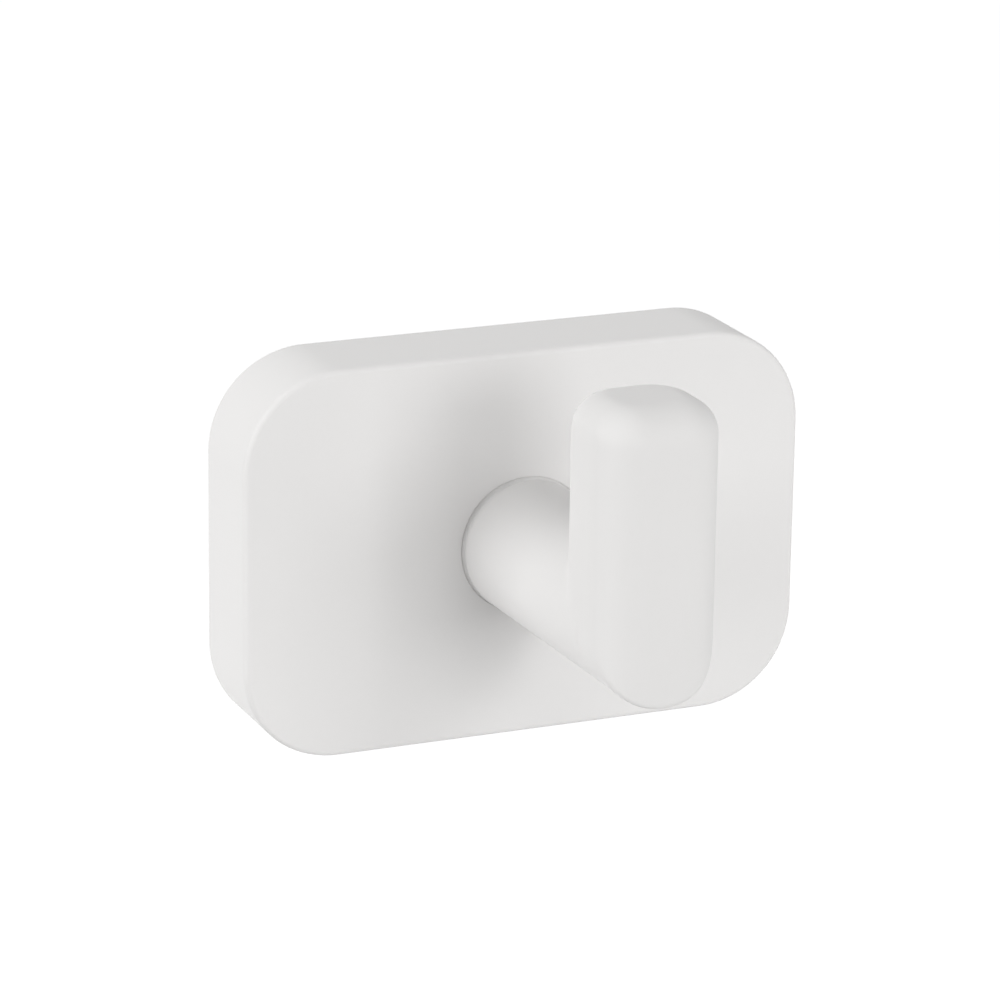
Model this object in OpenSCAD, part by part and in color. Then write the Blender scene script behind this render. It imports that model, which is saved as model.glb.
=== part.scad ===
// Adhesive wall hook: a front housing with a keyed hook slides down onto a wall plate held by an adhesive pad.
// Millimetres. +Z is up, the wall is the plane y = 0 and the hook stands out towards -Y.
// The origin is the centre of the adhesive pad's wall face, on the line of the hook's arm.

/* [Front housing] */
// Width of the housing
housing_w = 60; // [56:1:80]
// Height of the housing
housing_h = 40; // [36:1:60]
// Depth of the housing from its rear rim to its front face
housing_d = 10.4; // [9.8:0.1:14]
// Radius of the housing's four corners, seen from the front
housing_corner_r = 10; // [6:0.5:14]
// Radius of the edge round the front face
housing_edge_r = 0.6; // [0.3:0.1:1.2]
// Thickness of the housing's side walls
housing_wall = 2; // [1.6:0.1:2.6]
// Thickness of the housing's front face
housing_face = 2.4; // [2:0.1:3]
// Gap between the housing's rear rim and the wall
rim_gap = 0.4; // [0.2:0.1:0.8]
// Thickness of the ribs inside the housing
rib_t = 1.6; // [1.2:0.1:2.4]

/* [Hook] */
// Diameter of the arm where it leaves the housing
arm_root_d = 13.8; // [12:0.1:16]
// Diameter of the arm where it reaches the head
arm_end_d = 13; // [11:0.1:13.4]
// Gap all round between the arm and the hole in the housing
arm_gap = 0.1; // [0.05:0.05:0.4]
// Distance from the housing's front face to the front of the head
hook_reach = 33; // [24:0.1:50]
// Width of the head
head_w = 13.1; // [12.9:0.1:18]
// Thickness of the head from back to front
head_d = 12.2; // [11.2:0.1:16]
// Height of the head's top above the arm's axis
head_top = 22.8; // [14:0.1:34]
// Radius of the head's two front uprights
head_front_r = 4.4; // [3.6:0.1:5.2]
// Radius of the head's two back uprights
head_back_r = 5.3; // [3.6:0.1:6]
// Radius of the rounded edge round the head's top
head_crown_r = 3.5; // [1:0.1:4]
// Distance that the head's round lower end would stand out past each side of the head
chin_out = 0.1; // [0.1:0.05:1]

/* [Wall plate] */
// Width of the wall plate at its back face
plate_w = 42; // [34:1:46]
// Height of the wall plate
plate_h = 26; // [20:1:30]
// Thickness of the wall plate at its two rails
rail_t = 3.8; // [3:0.1:4.4]
// Width of each rail's front face
rail_w = 5; // [4:0.1:7]
// Distance that each rail leans outwards over its thickness
rail_lean = 3; // [2:0.1:3.4]
// Thickness of the web between the rails
web_t = 2; // [1.4:0.1:2.4]
// Radius of the wall plate's corners, seen from the front
plate_corner_r = 3; // [1:0.5:6]
// Running gap between the rails and the housing
slide_gap = 0.3; // [0.2:0.05:0.5]
// Gap under the housing's stops when it is fully down
stop_gap = 0.1; // [0.05:0.05:0.3]
// Distance of each stop from the middle
stop_x = 14; // [8:1:16]
// Gap between the wall plate and the notch that it passes through in the housing
notch_gap = 0.6; // [0.4:0.1:1]

/* [Adhesive] */
// Width of the adhesive pad
pad_w = 38; // [26:1:42]
// Height of the adhesive pad
pad_h = 24; // [16:1:26]
// Thickness of the adhesive pad
pad_t = 1; // [0.8:0.1:1.4]
// Radius of the pad's corners
pad_corner_r = 2; // [0.5:0.5:5]
// Width of the pull tab
tab_w = 16; // [8:1:24]
// Length of the pull tab below the pad
tab_l = 7; // [4:0.5:8]
// Thickness of the pull tab
tab_t = 0.8; // [0.4:0.1:0.8]
// Radius of the pull tab's two lower corners
tab_end_r = 3; // [0.5:0.5:4]

/* [Hook fastening] */
// Thickness of the socket's floor, which the screw clamps
socket_floor = 1.6; // [1.2:0.1:1.8]
// Thickness of the wall round the socket
socket_wall = 2.2; // [1.6:0.1:3]
// Diameter of the hook's keyed spigot
spigot_d = 8; // [6.5:0.1:9]
// Distance across the spigot's two flats
spigot_flats = 6; // [5:0.1:6.4]
// Gap all round between the spigot and its hole
key_gap = 0.15; // [0.1:0.05:0.3]
// Gap between the spigot's end and the washer
clamp_gap = 0.1; // [0.05:0.05:0.3]
// Diameter of the screw's shank
screw_d = 2.9; // [2.4:0.1:3.4]
// Gap all round between the shank and its bores
screw_gap = 0.05; // [0.05:0.05:0.2]
// Length of the screw under its head
screw_l = 12; // [8:0.5:18]
// Length of the screw's tapered tip
tip_l = 1.5; // [0.8:0.1:3]
// Diameter of the end of the screw's tip
tip_d = 0.8; // [0.4:0.1:1.4]
// Diameter of the screw's head
screw_head_d = 5.6; // [5:0.1:7]
// Height of the screw's head
screw_head_h = 1.8; // [1.4:0.1:2.2]
// Radius of the edge of the screw's head
screw_head_r = 0.6; // [0.2:0.1:0.8]
// Width of each slot of the screw's cross recess
recess_w = 0.9; // [0.6:0.1:1.2]
// Length of each slot of the screw's cross recess
recess_l = 3.2; // [2.4:0.1:4]
// Depth of the screw's cross recess
recess_depth = 1; // [0.6:0.1:1.2]
// Diameter of the washer
washer_d = 12; // [10:0.5:15]
// Thickness of the washer
washer_t = 0.6; // [0.4:0.1:0.8]
// Gap all round between the shank and the washer
washer_gap = 0.1; // [0.05:0.05:0.3]
// Gap between the screw's head and the wall plate's web
head_gap = 0.6; // [0.3:0.1:1]

/* [Hidden] */
$fn = 96;
// Overlap that lets joined shapes share volume and cuts pass clean through
join = 0.2;
through = 1;

// Distances from the wall, worked out piece by piece towards the viewer
web_front = pad_t+web_t;
rail_front = pad_t+rail_t;
washer_back = web_front+head_gap+screw_head_h;
floor_back = washer_back+washer_t;
seat = floor_back+socket_floor;
housing_front = rim_gap+housing_d;
inner_face = housing_front-housing_face;
head_front = housing_front+hook_reach;
head_back = head_front-head_d;

hole_d = arm_root_d+2*arm_gap;
plate_front_w = plate_w+2*rail_lean;
inner_w = housing_w-2*housing_wall;
inner_h = housing_h-2*housing_wall;
inner_r = housing_corner_r-housing_wall;
rib_root_w = housing_w-housing_wall;
rib_root_h = housing_h-housing_wall;
rib_root_r = housing_corner_r-housing_wall/2;
guide_x = (plate_front_w-rail_w)/2;
chin_d = head_w+2*chin_out;

// Extrudes a front-view outline from one distance off the wall to another.
module forward(near, far) {
    translate([0, -near, 0]) rotate([90, 0, 0]) linear_extrude(far-near) children();
}

// Extrudes an outline of x and distance off the wall upwards, centred on the arm's level.
module upright(height) {
    linear_extrude(height, center = true) mirror([0, 1]) children();
}

// Stands a turned shape on its axis, from one distance off the wall towards the viewer.
module turned(near) {
    translate([0, -near, 0]) rotate([90, 0, 0]) children();
}

module rounded_rect(w, h, r) {
    square([w-2*r, h], center = true);
    square([w, h-2*r], center = true);
    for (x = [-1, 1], y = [-1, 1])
        translate([x*(w/2-r), y*(h/2-r)]) circle(r);
}

// Section of a wall with its front edge rounded: width by depth, the rounded edges at the far side.
module edge_section(w, d, r) {
    translate([-w/2, 0]) square([w, d-r]);
    translate([-w/2+r, 0]) square([w-2*r, d]);
    for (x = [-1, 1])
        translate([x*(w/2-r), d-r]) circle(r);
}

// Half of that section, from its middle line outwards.
module half_section(r, h, edge_r) {
    intersection() {
        edge_section(2*r, h, edge_r);
        square([r, h]);
    }
}

// Round post with its top edge rounded, standing on z = 0.
module crowned_post(r, h, edge_r) {
    rotate_extrude() half_section(r, h, edge_r);
}

// Rounded rectangular block with a rounded edge round its front face.
module housing_block() {
    w = housing_w;
    h = housing_h;
    r = housing_corner_r;
    for (x = [-1, 1], z = [-1, 1])
        translate([x*(w/2-r), 0, z*(h/2-r)])
            turned(rim_gap) crowned_post(r, housing_d, housing_edge_r);
    translate([0, -rim_gap, 0])
        upright(h-2*r) edge_section(w, housing_d, housing_edge_r);
    translate([0, -rim_gap, 0]) rotate([0, 90, 0])
        upright(w-2*r) edge_section(h, housing_d, housing_edge_r);
}

module keyed_outline(gap) {
    intersection() {
        circle(d = spigot_d+2*gap);
        square([spigot_flats+2*gap, spigot_d+2*gap], center = true);
    }
}

// Dovetail rail on one inner side wall, which hooks behind the wall plate's rail.
module housing_rail() {
    near_x = plate_w/2+slide_gap;
    polygon([
        [near_x, pad_t],
        [near_x+rail_lean, rail_front],
        [rib_root_w/2, rail_front],
        [rib_root_w/2, pad_t]
    ]);
}

module housing_ribs() {
    // Guides in front of the wall plate's rails
    for (x = [-1, 1])
        forward(rail_front+slide_gap, inner_face+join)
            translate([x*guide_x, 0]) square([rib_t, plate_h], center = true);
    // Stops that rest on the wall plate's top edge
    for (x = [-1, 1])
        forward(pad_t+slide_gap, inner_face+join)
            translate([x*stop_x-rib_t/2, plate_h/2+stop_gap])
                square([rib_t, rib_root_h/2-plate_h/2-stop_gap]);
    // Cross ribs that brace the socket against the guides and the top and bottom walls
    forward(floor_back, inner_face+join) {
        square([2*guide_x, rib_t], center = true);
        square([rib_t, rib_root_h], center = true);
    }
    forward(floor_back, inner_face+join)
        circle(d = hole_d+2*socket_wall);
}

module adhesive_pad() {
    color("dimgray")
        forward(0, pad_t) rounded_rect(pad_w, pad_h, pad_corner_r);
}

module pull_tab() {
    spare = (pad_t-tab_t)/2;
    color("gainsboro")
        forward(spare, spare+tab_t)
            translate([0, -pad_h/2])
                intersection() {
                    rounded_rect(tab_w, 2*tab_l, tab_end_r);
                    translate([-tab_w/2, -tab_l]) square([tab_w, tab_l]);
                }
}

module wall_plate() {
    channel_w = plate_front_w-2*rail_w;
    color("whitesmoke")
        intersection() {
            upright(plate_h+2*through)
                polygon([
                    [-plate_w/2, pad_t],
                    [plate_w/2, pad_t],
                    [plate_front_w/2, rail_front],
                    [channel_w/2, rail_front],
                    [channel_w/2, web_front],
                    [-channel_w/2, web_front],
                    [-channel_w/2, rail_front],
                    [-plate_front_w/2, rail_front]
                ]);
            forward(pad_t-through, rail_front+through)
                rounded_rect(plate_front_w+join, plate_h, plate_corner_r);
        }
}

module front_housing() {
    notch_w = plate_front_w+2*notch_gap;
    color("white")
        difference() {
            union() {
                difference() {
                    housing_block();
                    forward(rim_gap-through, inner_face) rounded_rect(inner_w, inner_h, inner_r);
                    // Notch in the bottom wall that lets the wall plate pass as the housing lifts
                    forward(rim_gap-through, rail_front+notch_gap)
                        translate([-notch_w/2, -housing_h/2-through])
                            square([notch_w, (housing_h-plate_h)/2+through]);
                }
                intersection() {
                    union() {
                        housing_ribs();
                        for (side = [0, 1])
                            mirror([side, 0, 0]) upright(plate_h) housing_rail();
                    }
                    forward(pad_t-through, inner_face+join) rounded_rect(rib_root_w, rib_root_h, rib_root_r);
                }
            }
            turned(seat) cylinder(d = hole_d, h = housing_front-seat+through);
            forward(floor_back-through, seat+through) keyed_outline(key_gap);
        }
}

// One rounded end of the head's bar: two posts and the straight run between them, all of one section.
module head_end(r) {
    run = head_w-2*r;
    height = head_top+chin_d/2;
    translate([0, 0, -chin_d/2]) {
        for (side = [-1, 1])
            translate([side*run/2, 0, 0]) crowned_post(r, height, head_crown_r);
        rotate([90, 0, 90])
            linear_extrude(run, center = true) half_section(r, height, head_crown_r);
    }
}

// Head of the hook: an upright bar with a rounded top, its lower end cut half round in line with the arm.
module hook_head() {
    back_mid = head_back+head_back_r;
    front_mid = head_front-head_front_r;
    intersection() {
        union() {
            translate([0, -back_mid, 0]) head_end(head_back_r);
            translate([0, -front_mid, 0]) mirror([0, 1, 0]) head_end(head_front_r);
            translate([0, 0, -chin_d/2])
                forward(back_mid, front_mid) edge_section(head_w, head_top+chin_d/2, head_crown_r);
        }
        forward(head_back-through, head_front+through) {
            circle(d = chin_d);
            translate([-chin_d, 0]) square([2*chin_d, head_top+through]);
        }
    }
}

module hook() {
    spigot_back = floor_back+clamp_gap;
    arm_end = head_front-head_d/2;
    color("white")
        difference() {
            union() {
                turned(seat) cylinder(d = arm_root_d, h = housing_front-seat);
                turned(housing_front)
                    cylinder(d1 = arm_root_d, d2 = arm_end_d, h = arm_end-housing_front);
                hook_head();
                forward(spigot_back, seat+join) keyed_outline(0);
            }
            turned(spigot_back-through)
                cylinder(d = screw_d+2*screw_gap, h = screw_l+through);
        }
}

module hook_screw() {
    color("silver")
        difference() {
            union() {
                turned(washer_back) mirror([0, 0, 1])
                    crowned_post(screw_head_d/2, screw_head_h, screw_head_r);
                turned(washer_back-join) cylinder(d = screw_d, h = screw_l-tip_l+join);
                turned(washer_back+screw_l-tip_l) cylinder(d1 = screw_d, d2 = tip_d, h = tip_l);
            }
            for (turn = [0, 90])
                turned(web_front+head_gap-through) rotate(turn)
                    translate([-recess_l/2, -recess_w/2, 0])
                        cube([recess_l, recess_w, recess_depth+through]);
        }
}

module screw_washer() {
    color("silver")
        turned(washer_back)
            difference() {
                cylinder(d = washer_d, h = washer_t);
                translate([0, 0, -through])
                    cylinder(d = screw_d+2*washer_gap, h = washer_t+2*through);
            }
}

adhesive_pad();
pull_tab();
wall_plate();
front_housing();
hook();
hook_screw();
screw_washer();
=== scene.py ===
"""Looks of the adhesive wall hook: its moulded, foam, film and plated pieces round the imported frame."""

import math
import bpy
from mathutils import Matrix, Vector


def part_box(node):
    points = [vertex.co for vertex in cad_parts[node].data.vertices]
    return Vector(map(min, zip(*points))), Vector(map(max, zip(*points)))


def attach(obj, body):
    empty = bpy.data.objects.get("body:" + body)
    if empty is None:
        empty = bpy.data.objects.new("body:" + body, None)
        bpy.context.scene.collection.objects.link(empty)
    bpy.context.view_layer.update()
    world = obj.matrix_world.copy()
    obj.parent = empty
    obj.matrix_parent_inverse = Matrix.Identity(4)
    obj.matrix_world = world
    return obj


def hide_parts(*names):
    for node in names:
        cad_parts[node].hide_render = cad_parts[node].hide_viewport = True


bl_info = {
    "name": "Adhesive wall hook",
    "version": (1, 0, 0),
    "blender": (4, 5, 0),
    "location": "3D View > Sidebar > Wall hook",
    "description": "Builds the wall hook's pieces and finishes, and a plain studio to see them in",
    "category": "Add Mesh",
}

import bmesh
import bpy
from bpy.props import FloatProperty, FloatVectorProperty, IntProperty, PointerProperty
from mathutils import Matrix, Vector

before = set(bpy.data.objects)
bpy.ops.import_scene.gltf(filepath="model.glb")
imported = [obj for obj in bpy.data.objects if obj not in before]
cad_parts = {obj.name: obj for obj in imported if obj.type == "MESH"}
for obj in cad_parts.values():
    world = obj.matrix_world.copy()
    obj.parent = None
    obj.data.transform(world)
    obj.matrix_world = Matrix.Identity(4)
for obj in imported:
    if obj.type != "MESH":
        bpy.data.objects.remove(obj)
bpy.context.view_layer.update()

MM = 0.001
QUARTER_TURN = math.pi / 2

# How a copy of a CAD mesh is cleaned, and how its sharp edges are rounded.
MERGE_DISTANCE = 0.001 * MM
FLAT_ANGLE = math.radians(0.2)
SHARP_ANGLE = math.radians(35)
EDGE_SEGMENTS = 2
SLIVER = 0.015 * MM

# How finely the hook, the screw's thread, the tab's ridges and the pad are drawn.
GRID_MARGIN = 4
EVENING_PASSES = 3
SETTLING_PASSES = 2
THREAD_STEPS = 32
THREAD_SIDES = 3
RIDGE_SIDES = 16
PAD_CORNER_STEPS = 10
PAD_LEVELS = 9
PAD_EDGE_ANGLE = math.radians(40)

# Hidden sizes of the hook: the housing's floor under its shoulder, and the screw's bore.
SOCKET_FLOOR = 1.6 * MM
BORE_DEPTH = 12 * MM

# Grains of the finishes, counted to the metre.
FLOW_CLOUDS = 70
SPECKLES = 1400
MOULD_GRAINS = 4200
FOAM_CELLS = 2600
FOAM_PATCHES = 260
FILM_LINES = 1800
ZINC_CLOUDS = 700
ZINC_RINGS = 900

# Share of the first pattern where two are mixed.
MAIN_SHARE = 0.7

# How sharply a foam cell's wall stands out, and how far the film's grain is drawn out along it.
WALL_SHARPNESS = 6.0
FILM_SQUEEZE = 0.08

# Where each softbox stands round the hook, as its azimuth and elevation in degrees, and its width.
SOFTBOXES = {
    "left": (-100, 25, "wide_lamp"),
    "left_front": (-65, 10, "small_lamp"),
    "front": (10, 10, "small_lamp"),
    "front_high": (-5, 30, "small_lamp"),
    "right_high": (25, 30, "small_lamp"),
    "right": (50, 0, "wide_lamp"),
    "back": (180, 30, "wide_lamp"),
    "back_low": (170, -35, "wide_lamp"),
}

housing_low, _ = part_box("front_housing")
hook_low, hook_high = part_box("hook")
screw_low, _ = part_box("hook_screw")
washer_low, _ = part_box("screw_washer")
pad_low, pad_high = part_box("adhesive_pad")
tab_low, tab_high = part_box("pull_tab")


def length(label, words, default):
    """A property that holds a length in metres."""
    return FloatProperty(name=label, description=words, default=default, min=0, precision=5, unit="LENGTH")


def place_along(label, words, default):
    """A property that holds a place on an axis, on either side of its origin."""
    return FloatProperty(name=label, description=words, default=default, precision=5, unit="LENGTH")


def share(label, words, default):
    """A property that holds a share from 0 to 1."""
    return FloatProperty(name=label, description=words, default=default, min=0, max=1, subtype="FACTOR")


def angle(label, words, degrees):
    """A property that holds an angle."""
    return FloatProperty(name=label, description=words, default=math.radians(degrees), subtype="ANGLE")


def colour(label, words, default):
    """A property that holds a colour."""
    return FloatVectorProperty(
        name=label, description=words, default=default, min=0, max=1, size=3, subtype="COLOR"
    )


def power(label, words, default):
    """A property that holds a lamp's power in watts."""
    return FloatProperty(name=label, description=words, default=default, min=0, unit="POWER")


class HookShape(bpy.types.PropertyGroup):
    """Sizes of the hook's head, arm and spigot."""

    head_width: length("Head width", "Width of the upright head", 13.1 * MM)
    head_depth: length("Head depth", "Thickness of the head from back to front", 12.2 * MM)
    head_top: length("Head top", "Height of the head's top above the arm's axis", hook_high.z)
    head_front: length("Head front", "Distance of the head's front from the wall", -hook_low.y)
    front_round: length("Front rounding", "Radius of the head's front uprights", 4.4 * MM)
    back_round: length("Back rounding", "Radius of the head's back uprights", 5.3 * MM)
    crown_round: length("Crown rounding", "Radius of the edge round the head's top", 3.5 * MM)
    chin_radius: length("Chin radius", "Radius of the head's round lower end", 6.5 * MM)
    chin_round: length("Chin rounding", "Radius of the edge round the head's lower end", 0.4 * MM)
    arm_root_radius: length("Arm root radius", "Radius of the arm at the housing", hook_high.x)
    arm_end_radius: length("Arm end radius", "Radius of the arm at the head", 6.5 * MM)
    arm_start: length("Arm start", "Distance from the wall at which the taper starts", -housing_low.y)
    arm_blend: length("Arm blend", "Radius of the fillet between the arm and the head", 1.5 * MM)
    blend_rise: length("Blend rise", "Height above the arm's axis at which that fillet is full", 5 * MM)
    neck_radius: length("Neck radius", "Radius of the shallow neck round the arm at the housing", 1.2 * MM)
    neck_depth: length("Neck depth", "Depth of the neck round the arm", 0.3 * MM)
    lip: length("Lip", "How far the arm swells inside its hole, to fill it", 0.1 * MM)
    lip_drop: length("Lip drop", "How far that swelling stays under the housing's front", 0.05 * MM)
    seat: length("Seat", "Distance of the arm's shoulder from the wall", SOCKET_FLOOR - washer_low.y)
    spigot_back: length("Spigot back", "Distance of the spigot's end from the wall", -hook_high.y)
    spigot_radius: length("Spigot radius", "Radius of the keyed spigot", 4 * MM)
    spigot_flat: length("Spigot flat", "Distance of each flat from the spigot's axis", 3 * MM)
    bore_radius: length("Bore radius", "Radius of the screw's bore", 1.5 * MM)
    bore_end: length("Bore end", "Distance of the bore's end from the wall", BORE_DEPTH - hook_high.y)


class HookDetail(bpy.types.PropertyGroup):
    """Fine sizes of the mouldings, the pad, the tab and the screw."""

    grid: length("Grid", "Grid spacing of the hook's surface", 0.25 * MM)
    mould_edge: length("Mould edge", "Edge radius of the mouldings", 0.1 * MM)
    film_edge: length("Film edge", "Edge radius of the pull tab", 0.15 * MM)
    metal_edge: length("Metal edge", "Edge radius of the screw and washer", 0.06 * MM)
    pad_corner: length("Pad corner", "Radius of the pad's corners", 2 * MM)
    pad_bulge: length("Pad bulge", "Distance that the pressed foam bulges at its edge", 0.18 * MM)
    shank_radius: length("Shank radius", "Radius of the screw's shank", 1.45 * MM)
    thread_tip: length("Thread tip", "Length of the screw's tip without a thread", 1.5 * MM)
    thread_pitch: length("Thread pitch", "Distance between the screw's thread crests", 1.1 * MM)
    thread_height: length("Thread height", "Height of the screw's thread", 0.3 * MM)
    ridge_margin: length("Ridge margin", "Plain width of the pull tab beside its ridges", 5 * MM)
    ridge_start: length("Ridge start", "Height of the first ridge above the pull tab's end", 1.6 * MM)
    ridge_pitch: length("Ridge pitch", "Distance between the grip ridges of the pull tab", 1.1 * MM)
    ridge_radius: length("Ridge radius", "Radius of the pull tab's grip ridges", 0.18 * MM)
    ridge_count: IntProperty(name="Ridges", description="Grip ridges on the pull tab", default=4, min=1)


class HookFinish(bpy.types.PropertyGroup):
    """Colours and gloss of the finishes."""

    # The housing's white is a little lighter than the hook's. This is partly the own tone of a separate
    # moulding and partly painted light, raised to stand in for light on the housing's front.
    housing_white: colour("Housing plastic", "Colour of the front housing", (0.794, 0.786, 0.779))
    # The hook's white is a little darker than the housing's. This is partly the own tone of a separate
    # moulding and partly painted shade on the head and arm.
    hook_white: colour("Hook plastic", "Colour of the hook", (0.758, 0.75, 0.743))
    carrier: colour("Carrier plastic", "Colour of the wall plate", (0.78, 0.78, 0.77))
    foam: colour("Foam", "Colour of the adhesive pad", (0.62, 0.62, 0.61))
    film: colour("Film", "Colour of the pull tab", (0.74, 0.76, 0.78))
    zinc: colour("Zinc", "Colour of the screw and washer", (0.62, 0.63, 0.65))
    plastic_roughness: share("Plastic roughness", "Roughness of the white plastic", 0.55)


class HookStudio(bpy.types.PropertyGroup):
    """Camera, floor and light."""

    azimuth: angle("Azimuth", "Direction of the camera round the hook", -23.39)
    elevation: angle("Elevation", "Height of the camera above the horizon", 17.33)
    roll: angle("Roll", "Turn of the camera about its line of sight", 0.83)
    distance: length("Distance", "Distance of the camera from its target", 0.467955)
    target_x: place_along("Target X", "Place of the camera's target across the front", -2.910 * MM)
    target_z: place_along("Target Z", "Height of the camera's target on the front", 4.919 * MM)
    lens: FloatProperty(name="Lens", description="Focal length in millimetres", default=169.2, min=1)
    floor_drop: length("Floor drop", "Distance of the floor below the hook's arm", 1.0)
    floor_size: length("Floor size", "Width of the floor", 12.0)
    floor_colour: colour("Floor", "Colour of the pale floor", (0.82, 0.82, 0.82))
    floor_glow: share("Floor glow", "Light added to the floor where it is seen", 0.75)
    dome: FloatProperty(name="Dome", description="Strength of the even light all round", default=0.3, min=0)
    lamp_distance: length("Lamp distance", "Distance of the softboxes from the hook", 2.0)
    wide_lamp: length("Wide softbox", "Width of the softboxes at the sides and behind", 1.6)
    small_lamp: length("Small softbox", "Width of the other softboxes", 0.66)
    left_power: power("Left power", "Power of the softbox on the left", 26.7)
    left_front_power: power("Left front power", "Power of the softbox between the left and the front", 4.3)
    front_power: power("Front power", "Power of the softbox in front", 10.0)
    front_high_power: power("High front power", "Power of the softbox high in front", 3.0)
    right_high_power: power("High right power", "Power of the softbox high in front on the right", 6.9)
    right_power: power("Right power", "Power of the softbox on the right", 6.3)
    back_power: power("Back power", "Power of the softbox behind, which lights the top", 7.7)
    back_low_power: power("Low back power", "Power of the softbox low behind, which lights the back", 10.0)


class Wire:
    """One output socket. Python's operators on it add Math nodes to its tree."""

    def __init__(self, nodes, socket):
        self.nodes = nodes
        self.socket = socket

    def out(self, name):
        """Another output of the same node."""
        return Wire(self.nodes, self.socket.node.outputs[name])

    def math(self, operation, first, second=0.0):
        """The output of a new Math node."""
        return self.nodes.add("ShaderNodeMath", {"operation": operation}, {0: first, 1: second})

    def __add__(self, other):
        return self.math("ADD", self, other)

    def __radd__(self, other):
        return self.math("ADD", other, self)

    def __sub__(self, other):
        return self.math("SUBTRACT", self, other)

    def __rsub__(self, other):
        return self.math("SUBTRACT", other, self)

    def __mul__(self, other):
        return self.math("MULTIPLY", self, other)

    def __rmul__(self, other):
        return self.math("MULTIPLY", other, self)

    def __truediv__(self, other):
        return self.math("DIVIDE", self, other)

    def __gt__(self, other):
        return self.math("GREATER_THAN", self, other)

    def __neg__(self):
        return self.math("MULTIPLY", self, -1.0)

    def __abs__(self):
        return self.math("ABSOLUTE", self)

    def least(self, other):
        return self.math("MINIMUM", self, other)

    def most(self, other):
        return self.math("MAXIMUM", self, other)

    def root(self):
        return self.math("SQRT", self)


class Nodes:
    """A node tree that is filled by one method."""

    def __init__(self, tree):
        self.tree = tree

    def add(self, kind, settings=None, sockets=None, output=0):
        """Adds a node, sets it up, fills or links its sockets and returns one of its outputs."""
        node = self.tree.nodes.new(kind)
        for name, value in (settings or {}).items():
            setattr(node, name, value)
        for key, value in (sockets or {}).items():
            if isinstance(value, Wire):
                self.tree.links.new(value.socket, node.inputs[key])
            else:
                node.inputs[key].default_value = value
        return Wire(self, node.outputs[output]) if node.outputs else node

    def mix(self, factor, first, second):
        """A colour between two colours."""
        return self.add(
            "ShaderNodeMix", {"data_type": "RGBA"}, {0: factor, 6: opaque(first), 7: opaque(second)}, output=2
        )


def opaque(value):
    """A colour of three numbers with its alpha, or a link as it is."""
    return value if isinstance(value, Wire) else (*value, 1.0)


def scaled(value, factor):
    """A colour made a little lighter or darker."""
    return tuple(min(1.0, part * factor) for part in value)


def hypot(first, second):
    """Distance from the origin of a point with two coordinates."""
    return (first * first + second * second).root()


def rounded_join(first, second, radius):
    """Distance to two joined solids with a fillet between them."""
    near_first = (radius - first).most(0.0)
    near_second = (radius - second).most(0.0)
    return first.least(second).most(radius) - hypot(near_first, near_second)


def rounded_overlap(first, second, radius):
    """Distance to the overlap of two solids, with its edge rounded."""
    near_first = (first + radius).most(0.0)
    near_second = (second + radius).most(0.0)
    return first.most(second).least(-radius) + hypot(near_first, near_second)


def new_finish(name):
    """A new material with its nodes, its principled shader and the piece's own coordinates."""
    material = bpy.data.materials.new(name)
    material.use_nodes = True
    nodes = Nodes(material.node_tree)
    shader = material.node_tree.nodes["Principled BSDF"]
    place = nodes.add("ShaderNodeTexCoord", output="Object")
    return material, nodes, shader, place


def feed(nodes, shader, **sockets):
    """Links or sets the shader's sockets, which are named with _ for a space."""
    for name, value in sockets.items():
        socket = shader.inputs[name.replace("_", " ").title().replace("Ior", "IOR")]
        if isinstance(value, Wire):
            nodes.tree.links.new(value.socket, socket)
        else:
            socket.default_value = value


def noise(nodes, place, scale, detail=2.0):
    """Even noise from 0 to 1, with its grain given as grains to the metre."""
    return nodes.add(
        "ShaderNodeTexNoise", {"noise_dimensions": "3D"}, {"Vector": place, "Scale": scale, "Detail": detail}
    )


def blended(main, other):
    """Mostly the first of two patterns, and some of the second."""
    return main * MAIN_SHARE + other * (1 - MAIN_SHARE)


def between(pattern, low, high):
    """A pattern of 0 to 1 that runs from low to high instead."""
    return pattern * (high - low) + low


def varied(nodes, pattern, shade, deep, pale):
    """A colour that a pattern moves between a deeper and a paler one."""
    return nodes.mix(pattern, scaled(shade, deep), scaled(shade, pale))


def bumps(nodes, height, strength, depth):
    """A normal that is bumped by a height."""
    return nodes.add("ShaderNodeBump", None, {"Height": height, "Strength": strength, "Distance": depth})


def moulded_plastic(name, shade, roughness):
    """Satin moulded plastic: faint flow clouds, fine speckle and a spark-eroded grain."""
    material, nodes, shader, place = new_finish(name)
    clouds = noise(nodes, place, FLOW_CLOUDS)
    speckle = noise(nodes, place, SPECKLES, detail=3)
    grain = noise(nodes, place, MOULD_GRAINS, detail=3)
    cloud_swing = 0.06
    speckle_swing = 0.1
    smoothest = roughness - (cloud_swing + speckle_swing) / 2
    feed(
        nodes,
        shader,
        base_color=varied(nodes, blended(clouds, speckle), shade, deep=0.985, pale=1.015),
        specular_ior_level=0.1,
        roughness=speckle * speckle_swing + clouds * cloud_swing + smoothest,
        normal=bumps(nodes, blended(grain, speckle), strength=0.12, depth=0.02 * MM),
    )
    return material


def closed_cell_foam(name, shade):
    """Closed-cell foam: small cells with thin walls, matt all over."""
    material, nodes, shader, place = new_finish(name)
    cells = nodes.add(
        "ShaderNodeTexVoronoi", {"feature": "DISTANCE_TO_EDGE"}, {"Vector": place, "Scale": FOAM_CELLS}
    )
    walls = (cells * WALL_SHARPNESS).least(1.0)
    patches = noise(nodes, place, FOAM_PATCHES)
    feed(
        nodes,
        shader,
        base_color=varied(nodes, blended(walls, patches), shade, deep=0.86, pale=1.06),
        roughness=between(patches, low=0.82, high=0.92),
        normal=bumps(nodes, walls, strength=0.5, depth=0.06 * MM),
    )
    return material


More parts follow.
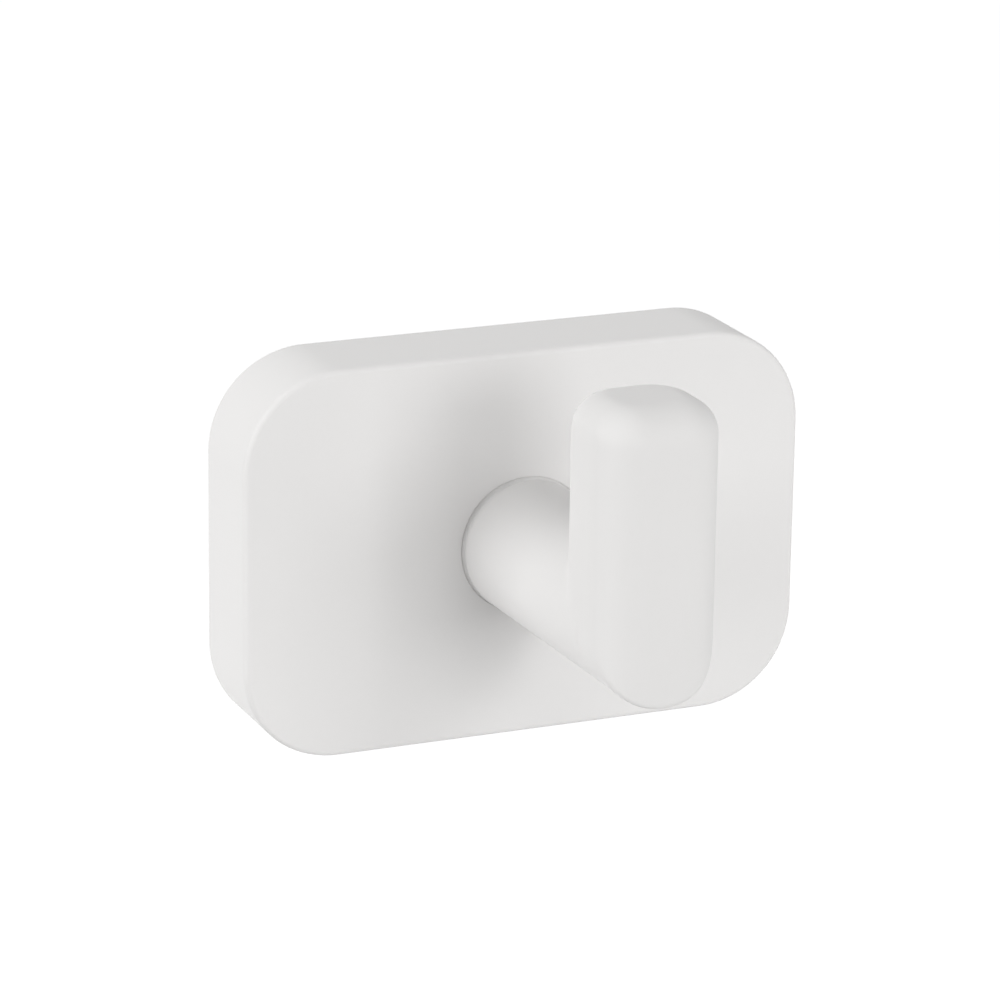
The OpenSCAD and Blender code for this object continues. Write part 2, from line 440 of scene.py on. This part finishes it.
def milky_film(name, shade):
    """Stretchy milky film: drawn lines along its length and a soft gloss."""
    material, nodes, shader, place = new_finish(name)
    drawn = nodes.add("ShaderNodeMapping", None, {"Vector": place, "Scale": (1.0, 1.0, FILM_SQUEEZE)})
    lines = noise(nodes, drawn, FILM_LINES, detail=4)
    feed(
        nodes,
        shader,
        base_color=varied(nodes, lines, shade, deep=0.94, pale=1.05),
        roughness=between(lines, low=0.28, high=0.48),
        normal=bumps(nodes, lines, strength=0.2, depth=0.03 * MM),
    )
    return material


def bright_zinc(name, shade):
    """Bright zinc plating: turned rings about the screw's axis and a cloudy passivation."""
    material, nodes, shader, place = new_finish(name)
    rings = nodes.add(
        "ShaderNodeTexWave",
        {"wave_type": "RINGS", "rings_direction": "Y", "wave_profile": "SIN"},
        {"Vector": place, "Scale": ZINC_RINGS, "Distortion": 1.5, "Detail": 3.0, "Detail Scale": 2.0},
    )
    clouds = noise(nodes, place, ZINC_CLOUDS, detail=3)
    ring_swing = 0.06
    feed(
        nodes,
        shader,
        base_color=varied(nodes, clouds, shade, deep=0.9, pale=1.08),
        metallic=1.0,
        roughness=between(clouds, low=0.2, high=0.36) + rings * ring_swing,
        normal=bumps(nodes, rings, strength=0.12, depth=0.01 * MM),
    )
    return material


def linked(name, data):
    """A new object in the scene, for a mesh, a lamp or a camera."""
    thing = bpy.data.objects.new(name, data)
    bpy.context.scene.collection.objects.link(thing)
    return thing


def new_piece(name, mesh, material, body, slot, *nodes):
    """A finished piece that rides on a body, takes one finish and stands for CAD nodes; its slot is not used.
    """
    piece = linked(name, mesh)
    mesh.materials.clear()
    mesh.materials.append(material)
    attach(piece, body)
    if nodes:
        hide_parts(*nodes)
    return piece


def settled_mesh(source, name):
    """The mesh of an object with its modifiers worked in. The object goes away."""
    evaluated = source.evaluated_get(bpy.context.evaluated_depsgraph_get())
    mesh = bpy.data.meshes.new_from_object(evaluated)
    mesh.name = name
    bpy.data.objects.remove(source)
    return mesh


def edged_copy(node, width):
    """A copy of a CAD node's mesh, merged, with its sharp edges rounded and no slivers left."""
    shell = bmesh.new()
    shell.from_mesh(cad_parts[node].data)
    bmesh.ops.remove_doubles(shell, verts=shell.verts, dist=MERGE_DISTANCE)
    bmesh.ops.dissolve_limit(shell, angle_limit=FLAT_ANGLE, verts=shell.verts, edges=shell.edges)
    for face in shell.faces:
        face.smooth = True
    mesh = bpy.data.meshes.new(node + "_copy")
    shell.to_mesh(mesh)
    shell.free()
    thing = linked(node + "_copy", mesh)
    bevel = thing.modifiers.new("Edges", "BEVEL")
    bevel.limit_method = "ANGLE"
    bevel.angle_limit = SHARP_ANGLE
    bevel.width = width
    bevel.segments = EDGE_SEGMENTS
    bevel.use_clamp_overlap = True
    weld = thing.modifiers.new("Slivers", "WELD")
    weld.merge_threshold = SLIVER
    weighted = thing.modifiers.new("Normals", "WEIGHTED_NORMAL")
    weighted.keep_sharp = True
    return settled_mesh(thing, node + "_edged")


def new_shape_tree(name, sizes):
    """A geometry tree with a named input for each size, and its wires by name."""
    tree = bpy.data.node_groups.new(name, "GeometryNodeTree")
    tree.interface.new_socket("Geometry", in_out="OUTPUT", socket_type="NodeSocketGeometry")
    for label in sizes:
        tree.interface.new_socket(label, in_out="INPUT", socket_type="NodeSocketFloat")
    nodes = Nodes(tree)
    start = nodes.add("NodeGroupInput")
    return nodes, {label: start.out(label) for label in sizes}


def finish_shape_tree(nodes, shape, material):
    """Ends a geometry tree in real, smooth faces with a material."""
    real = nodes.add("GeometryNodeRealizeInstances", None, {"Geometry": shape})
    smooth = nodes.add("GeometryNodeSetShadeSmooth", None, {"Geometry": real})
    painted = nodes.add("GeometryNodeSetMaterial", None, {"Geometry": smooth, "Material": material})
    nodes.add("NodeGroupOutput", None, {"Geometry": painted})


def grow(nodes, sizes):
    """Runs a geometry tree at the given sizes and returns its mesh."""
    name = nodes.tree.name
    thing = linked(name, bpy.data.meshes.new(name + "_seed"))
    modifier = thing.modifiers.new(name, "NODES")
    modifier.node_group = nodes.tree
    for item in nodes.tree.interface.items_tree:
        if item.in_out == "INPUT":
            modifier[item.identifier] = sizes[item.name]
    return settled_mesh(thing, name)


def hook_distance(nodes, size):
    """Distance of any point from the hook's surface, less than nothing inside it."""
    point = nodes.add("ShaderNodeSeparateXYZ", None, {0: nodes.add("GeometryNodeInputPosition")}, output="X")
    side = abs(point)
    out = -point.out("Y")
    height = point.out("Z")
    from_axis = hypot(side, height)

    half_depth = size["head_depth"] * 0.5
    middle = size["head_front"] - half_depth
    corner = size["back_round"] + (size["front_round"] - size["back_round"]) * (out > middle)
    past_side = side - size["head_width"] * 0.5 + corner
    past_end = abs(out - middle) - half_depth + corner
    plan = past_side.most(past_end).least(0.0) + hypot(past_side.most(0.0), past_end.most(0.0)) - corner
    crowned = rounded_overlap(plan, height - size["head_top"], size["crown_round"])
    chin = hypot(side, height.least(0.0)) - size["chin_radius"]
    head = rounded_overlap(crowned, chin, size["chin_round"])

    along = ((out - size["arm_start"]) / (middle - size["arm_start"])).most(0.0)
    taper = (size["arm_end_radius"] - size["arm_root_radius"]) * along
    neck_centre = size["arm_root_radius"] + size["neck_radius"] - size["neck_depth"]
    neck = hypot(from_axis - neck_centre, out - size["arm_start"]) - size["neck_radius"]
    necked = (from_axis - size["arm_root_radius"] - taper).most(out - middle).most(-neck)
    lip_side = from_axis - size["arm_root_radius"] - size["lip"]
    lip = lip_side.most(out - size["arm_start"] + size["lip_drop"])
    arm = necked.least(lip).most(size["seat"] - out)
    rise = (height / size["blend_rise"]).most(0.0).least(1.0)
    moulded = rounded_join(arm, head, size["arm_blend"] * rise * rise)

    key = (from_axis - size["spigot_radius"]).most(side - size["spigot_flat"])
    spigot = key.most(size["spigot_back"] - out).most(out - middle)
    bore = (from_axis - size["bore_radius"]).most(out - size["bore_end"])
    return moulded.least(spigot).most(-bore)


def hook_mesh(shape, grid, material):
    """The hook, drawn as the surface at no distance from its own rule."""
    sizes = {label: getattr(shape, label) for label in HookShape.__annotations__}
    nodes, wires = new_shape_tree("hook_shape", sizes)
    margin = Vector((1, 1, 1)) * GRID_MARGIN * grid
    low, high = hook_low - margin, hook_high + margin
    steps = [round(extent / grid) + 1 for extent in high - low]
    distance = hook_distance(nodes, wires)
    cloud = nodes.add(
        "GeometryNodeVolumeCube",
        None,
        {
            "Density": 1.0 - distance / MM,
            "Min": low,
            "Max": high,
            "Resolution X": steps[0],
            "Resolution Y": steps[1],
            "Resolution Z": steps[2],
        },
    )
    skin = nodes.add("GeometryNodeVolumeToMesh", None, {"Volume": cloud, "Threshold": 1.0})
    place = nodes.add("GeometryNodeInputPosition")
    evened = nodes.add(
        "GeometryNodeBlurAttribute",
        {"data_type": "FLOAT_VECTOR"},
        {"Value": place, "Iterations": EVENING_PASSES},
    )
    skin = nodes.add("GeometryNodeSetPosition", None, {"Geometry": skin, "Position": evened})
    for _ in range(SETTLING_PASSES):
        outward = nodes.add("GeometryNodeInputNormal")
        drop = nodes.add("ShaderNodeVectorMath", {"operation": "SCALE"}, {0: outward, "Scale": -distance})
        skin = nodes.add("GeometryNodeSetPosition", None, {"Geometry": skin, "Offset": drop})
    finish_shape_tree(nodes, skin, material)
    return grow(nodes, sizes)


def thread_mesh(detail, material):
    """The screw's thread: a sharp ridge wound round the shank."""
    start = -washer_low.y
    sizes = {
        "radius": detail.shank_radius,
        "run": -screw_low.y - start - detail.thread_tip,
        "pitch": detail.thread_pitch,
        "height": detail.thread_height,
    }
    nodes, size = new_shape_tree("screw_thread", sizes)
    spiral = nodes.add(
        "GeometryNodeCurveSpiral",
        None,
        {
            "Resolution": THREAD_STEPS,
            "Rotations": size["run"] / size["pitch"],
            "Start Radius": size["radius"],
            "End Radius": size["radius"],
            "Height": size["run"],
        },
    )
    ridge = nodes.add(
        "GeometryNodeCurvePrimitiveCircle", None, {"Resolution": THREAD_SIDES, "Radius": size["height"]}
    )
    wound = nodes.add(
        "GeometryNodeCurveToMesh", None, {"Curve": spiral, "Profile Curve": ridge, "Fill Caps": True}
    )
    turned = nodes.add(
        "GeometryNodeTransform",
        None,
        {"Geometry": wound, "Translation": (0.0, -start, 0.0), "Rotation": (QUARTER_TURN, 0.0, 0.0)},
    )
    finish_shape_tree(nodes, turned, material)
    return grow(nodes, sizes)


def ridge_mesh(detail, material):
    """The pull tab's grip ridges: a row of low round bars across it."""
    bar = tab_high.x - tab_low.x - detail.ridge_margin
    sizes = {"bar": bar, "radius": detail.ridge_radius, "pitch": detail.ridge_pitch}
    nodes, size = new_shape_tree("tab_ridges", sizes)
    step = nodes.add("ShaderNodeCombineXYZ", None, {"Z": size["pitch"]})
    first = Vector((0.0, tab_low.y, tab_low.z + detail.ridge_start))
    row = nodes.add(
        "GeometryNodeMeshLine", None, {"Count": detail.ridge_count, "Start Location": first, "Offset": step}
    )
    rod = nodes.add(
        "GeometryNodeMeshCylinder",
        None,
        {"Vertices": RIDGE_SIDES, "Radius": size["radius"], "Depth": size["bar"]},
    )
    bars = nodes.add(
        "GeometryNodeInstanceOnPoints",
        None,
        {"Points": row, "Instance": rod, "Rotation": (0.0, QUARTER_TURN, 0.0)},
    )
    finish_shape_tree(nodes, bars, material)
    return grow(nodes, sizes)


def pad_outline(half_width, half_height, corner):
    """Points round a rectangle with round corners."""
    points = []
    for quarter in range(4):
        turn = quarter * QUARTER_TURN
        across = half_width - corner if quarter in (0, 3) else corner - half_width
        up = half_height - corner if quarter in (0, 1) else corner - half_height
        for step in range(PAD_CORNER_STEPS + 1):
            bend = turn + step / PAD_CORNER_STEPS * QUARTER_TURN
            points.append((across + corner * math.cos(bend), up + corner * math.sin(bend)))
    return points


def pad_mesh(detail):
    """The foam pad: pressed flat on both faces, with its cut edge bulging between them."""
    half = (pad_high - pad_low) / 2
    centre = (pad_high + pad_low) / 2
    slab = bmesh.new()
    rings = []
    for level in range(PAD_LEVELS):
        rise = 2 * level / (PAD_LEVELS - 1) - 1
        out = detail.pad_bulge * (math.sqrt(1 - rise * rise) - 1)
        outline = pad_outline(half.x + out, half.z + out, detail.pad_corner)
        ring = [slab.verts.new((x, centre.y + rise * half.y, centre.z + z)) for x, z in outline]
        rings.append(ring)
    for lower, upper in zip(rings, rings[1:]):
        for index in range(len(lower)):
            nearby = (index + 1) % len(lower)
            slab.faces.new((lower[index], lower[nearby], upper[nearby], upper[index]))
    slab.faces.new(rings[0])
    slab.faces.new(rings[-1])
    bmesh.ops.recalc_face_normals(slab, faces=slab.faces)
    mesh = bpy.data.meshes.new("adhesive_pad")
    slab.to_mesh(mesh)
    slab.free()
    mesh.shade_smooth()
    mesh.set_sharp_from_angle(angle=PAD_EDGE_ANGLE)
    return mesh


class WALL_HOOK_OT_hook(bpy.types.Operator):
    """Builds the hook's arm and head as one smooth moulding"""

    bl_idname = "wall_hook.hook"
    bl_label = "Hook"

    def execute(self, context):
        scene = context.scene
        finish = scene.hook_finish
        # The hook's white holds painted shade as well as its own tone.
        white = moulded_plastic("white_plastic_hook", finish.hook_white, finish.plastic_roughness)
        mesh = hook_mesh(scene.hook_shape, scene.hook_detail.grid, white)
        new_piece("moulded_hook", mesh, white, "front", "hook_plastic", "hook")
        return {"FINISHED"}


class WALL_HOOK_OT_housing(bpy.types.Operator):
    """Builds the hollow front housing with softened mould edges"""

    bl_idname = "wall_hook.housing"
    bl_label = "Front housing"

    def execute(self, context):
        scene = context.scene
        finish = scene.hook_finish
        # The housing's white holds painted light as well as its own tone.
        white = moulded_plastic("white_plastic_housing", finish.housing_white, finish.plastic_roughness)
        mesh = edged_copy("front_housing", scene.hook_detail.mould_edge)
        new_piece("moulded_housing", mesh, white, "front", "housing_plastic", "front_housing")
        return {"FINISHED"}


class WALL_HOOK_OT_wall_plate(bpy.types.Operator):
    """Builds the wall plate that the housing slides onto"""

    bl_idname = "wall_hook.wall_plate"
    bl_label = "Wall plate"

    def execute(self, context):
        scene = context.scene
        finish = scene.hook_finish
        plain = moulded_plastic("carrier_plastic", finish.carrier, finish.plastic_roughness)
        mesh = edged_copy("wall_plate", scene.hook_detail.mould_edge)
        new_piece("moulded_wall_plate", mesh, plain, "wall_mount", "plate_plastic", "wall_plate")
        return {"FINISHED"}


class WALL_HOOK_OT_adhesive(bpy.types.Operator):
    """Builds the foam pad and its pull tab"""

    bl_idname = "wall_hook.adhesive"
    bl_label = "Adhesive pad and tab"

    def execute(self, context):
        scene = context.scene
        detail = scene.hook_detail
        foam = closed_cell_foam("closed_cell_foam", scene.hook_finish.foam)
        film = milky_film("milky_film", scene.hook_finish.film)
        pad = new_piece("foam_pad", pad_mesh(detail), foam, "wall_mount", "pad_foam", "adhesive_pad")
        tab = edged_copy("pull_tab", detail.film_edge)
        new_piece("film_tab", tab, film, "wall_mount", "tab_film", "pull_tab")
        new_piece("film_tab_ridges", ridge_mesh(detail, film), film, "wall_mount", "tab_film")
        return {"FINISHED"}


class WALL_HOOK_OT_fastening(bpy.types.Operator):
    """Builds the screw, its thread and its washer"""

    bl_idname = "wall_hook.fastening"
    bl_label = "Screw and washer"

    def execute(self, context):
        scene = context.scene
        detail = scene.hook_detail
        zinc = bright_zinc("bright_zinc", scene.hook_finish.zinc)
        screw = edged_copy("hook_screw", detail.metal_edge)
        new_piece("plated_screw", screw, zinc, "front", "plated_steel", "hook_screw")
        new_piece("screw_thread", thread_mesh(detail, zinc), zinc, "front", "plated_steel")
        washer = edged_copy("screw_washer", detail.metal_edge)
        new_piece("plated_washer", washer, zinc, "front", "plated_steel", "screw_washer")
        return {"FINISHED"}


def direction(azimuth, elevation):
    """Unit vector from the hook towards a place round it. Azimuth 0 is in front of it."""
    level = math.cos(elevation)
    return Vector((math.sin(azimuth) * level, -math.cos(azimuth) * level, math.sin(elevation)))


def seen_plainly(nodes):
    """1 for what the camera, a gloss or a clear material sees, and 0 for light that spreads."""
    path = nodes.add("ShaderNodeLightPath", output="Is Camera Ray")
    return path.most(path.out("Is Glossy Ray")).most(path.out("Is Transmission Ray"))


def set_camera(studio):
    """The camera at the photographed angle, aimed at a point of the housing's front."""
    back = direction(studio.azimuth, studio.elevation)
    right = Vector((math.cos(studio.azimuth), math.sin(studio.azimuth), 0.0))
    upright = Matrix((right, back.cross(right), back)).transposed()
    target = Vector((studio.target_x, housing_low.y, studio.target_z))
    data = bpy.data.cameras.new("camera")
    data.lens = studio.lens
    camera = linked("camera", data)
    turn = (upright @ Matrix.Rotation(studio.roll, 3, "Z")).to_4x4()
    camera.matrix_world = Matrix.Translation(target + back * studio.distance) @ turn
    bpy.context.scene.camera = camera


def set_world(studio):
    """Even light all round, seen as white."""
    world = bpy.data.worlds.new("studio_dome")
    world.use_nodes = True
    world.node_tree.nodes.clear()
    nodes = Nodes(world.node_tree)
    white = (1.0, 1.0, 1.0, 1.0)
    strength = studio.dome + (1.0 - studio.dome) * seen_plainly(nodes)
    shine = nodes.add("ShaderNodeBackground", None, {"Color": white, "Strength": strength})
    nodes.add("ShaderNodeOutputWorld", None, {"Surface": shine})
    bpy.context.scene.world = world


def set_floor(studio):
    """A pale floor well below the hook. What is seen of it is white, less the shadow on it."""
    half = studio.floor_size / 2
    square = ((-half, -half), (half, -half), (half, half), (-half, half))
    corners = [(x, y, -studio.floor_drop) for x, y in square]
    mesh = bpy.data.meshes.new("floor")
    mesh.from_pydata(corners, [], [(0, 1, 2, 3)])
    material = bpy.data.materials.new("pale_floor")
    material.use_nodes = True
    material.node_tree.nodes.clear()
    nodes = Nodes(material.node_tree)
    matt = nodes.add("ShaderNodeBsdfDiffuse", None, {"Color": opaque(studio.floor_colour)})
    glow = nodes.add("ShaderNodeEmission", None, {"Strength": seen_plainly(nodes) * studio.floor_glow})
    both = nodes.add("ShaderNodeAddShader", None, {0: matt, 1: glow})
    nodes.add("ShaderNodeOutputMaterial", None, {"Surface": both})
    mesh.materials.append(material)
    floor = linked("floor", mesh)


def set_lamp(name, distance, size, energy, azimuth, elevation):
    """A square softbox aimed at the hook."""
    data = bpy.data.lights.new(name, "AREA")
    data.size = size
    data.energy = energy
    lamp = linked(name, data)
    back = direction(math.radians(azimuth), math.radians(elevation))
    lamp.location = back * distance
    lamp.rotation_euler = back.to_track_quat("Z", "Y").to_euler()


class WALL_HOOK_OT_studio(bpy.types.Operator):
    """Builds the camera, the pale floor and the soft studio light"""

    bl_idname = "wall_hook.studio"
    bl_label = "Studio"

    def execute(self, context):
        scene = context.scene
        studio = scene.hook_studio
        scene.view_settings.view_transform = "Standard"
        set_camera(studio)
        set_world(studio)
        set_floor(studio)
        for name, (azimuth, elevation, width) in SOFTBOXES.items():
            size = getattr(studio, width)
            energy = getattr(studio, name + "_power")
            set_lamp(name + "_softbox", studio.lamp_distance, size, energy, azimuth, elevation)
        return {"FINISHED"}


class WALL_HOOK_PT_panel(bpy.types.Panel):
    """Lists the sizes and finishes of the wall hook, its pieces and its studio"""

    bl_idname = "WALL_HOOK_PT_panel"
    bl_label = "Wall hook"
    bl_space_type = "VIEW_3D"
    bl_region_type = "UI"
    bl_category = "Wall hook"

    def draw(self, context):
        for name, group in GROUPS.items():
            column = self.layout.box().column()
            for label in group.__annotations__:
                column.prop(getattr(context.scene, name), label)
        for maker in MAKERS:
            self.layout.operator(maker.bl_idname)


GROUPS = {
    "hook_shape": HookShape,
    "hook_detail": HookDetail,
    "hook_finish": HookFinish,
    "hook_studio": HookStudio,
}
MAKERS = (
    WALL_HOOK_OT_studio,
    WALL_HOOK_OT_hook,
    WALL_HOOK_OT_housing,
    WALL_HOOK_OT_wall_plate,
    WALL_HOOK_OT_adhesive,
    WALL_HOOK_OT_fastening,
)
CLASSES = (*GROUPS.values(), *MAKERS, WALL_HOOK_PT_panel)


def register():
    for each in CLASSES:
        bpy.utils.register_class(each)
    for name, group in GROUPS.items():
        setattr(bpy.types.Scene, name, PointerProperty(type=group))


def unregister():
    for name in GROUPS:
        delattr(bpy.types.Scene, name)
    for each in reversed(CLASSES):
        bpy.utils.unregister_class(each)


def main():
    """Builds the studio and every piece."""
    register()
    bpy.ops.wall_hook.studio()
    bpy.ops.wall_hook.hook()
    bpy.ops.wall_hook.housing()
    bpy.ops.wall_hook.wall_plate()
    bpy.ops.wall_hook.adhesive()
    bpy.ops.wall_hook.fastening()
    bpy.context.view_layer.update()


if __name__ == "__main__":
    main()
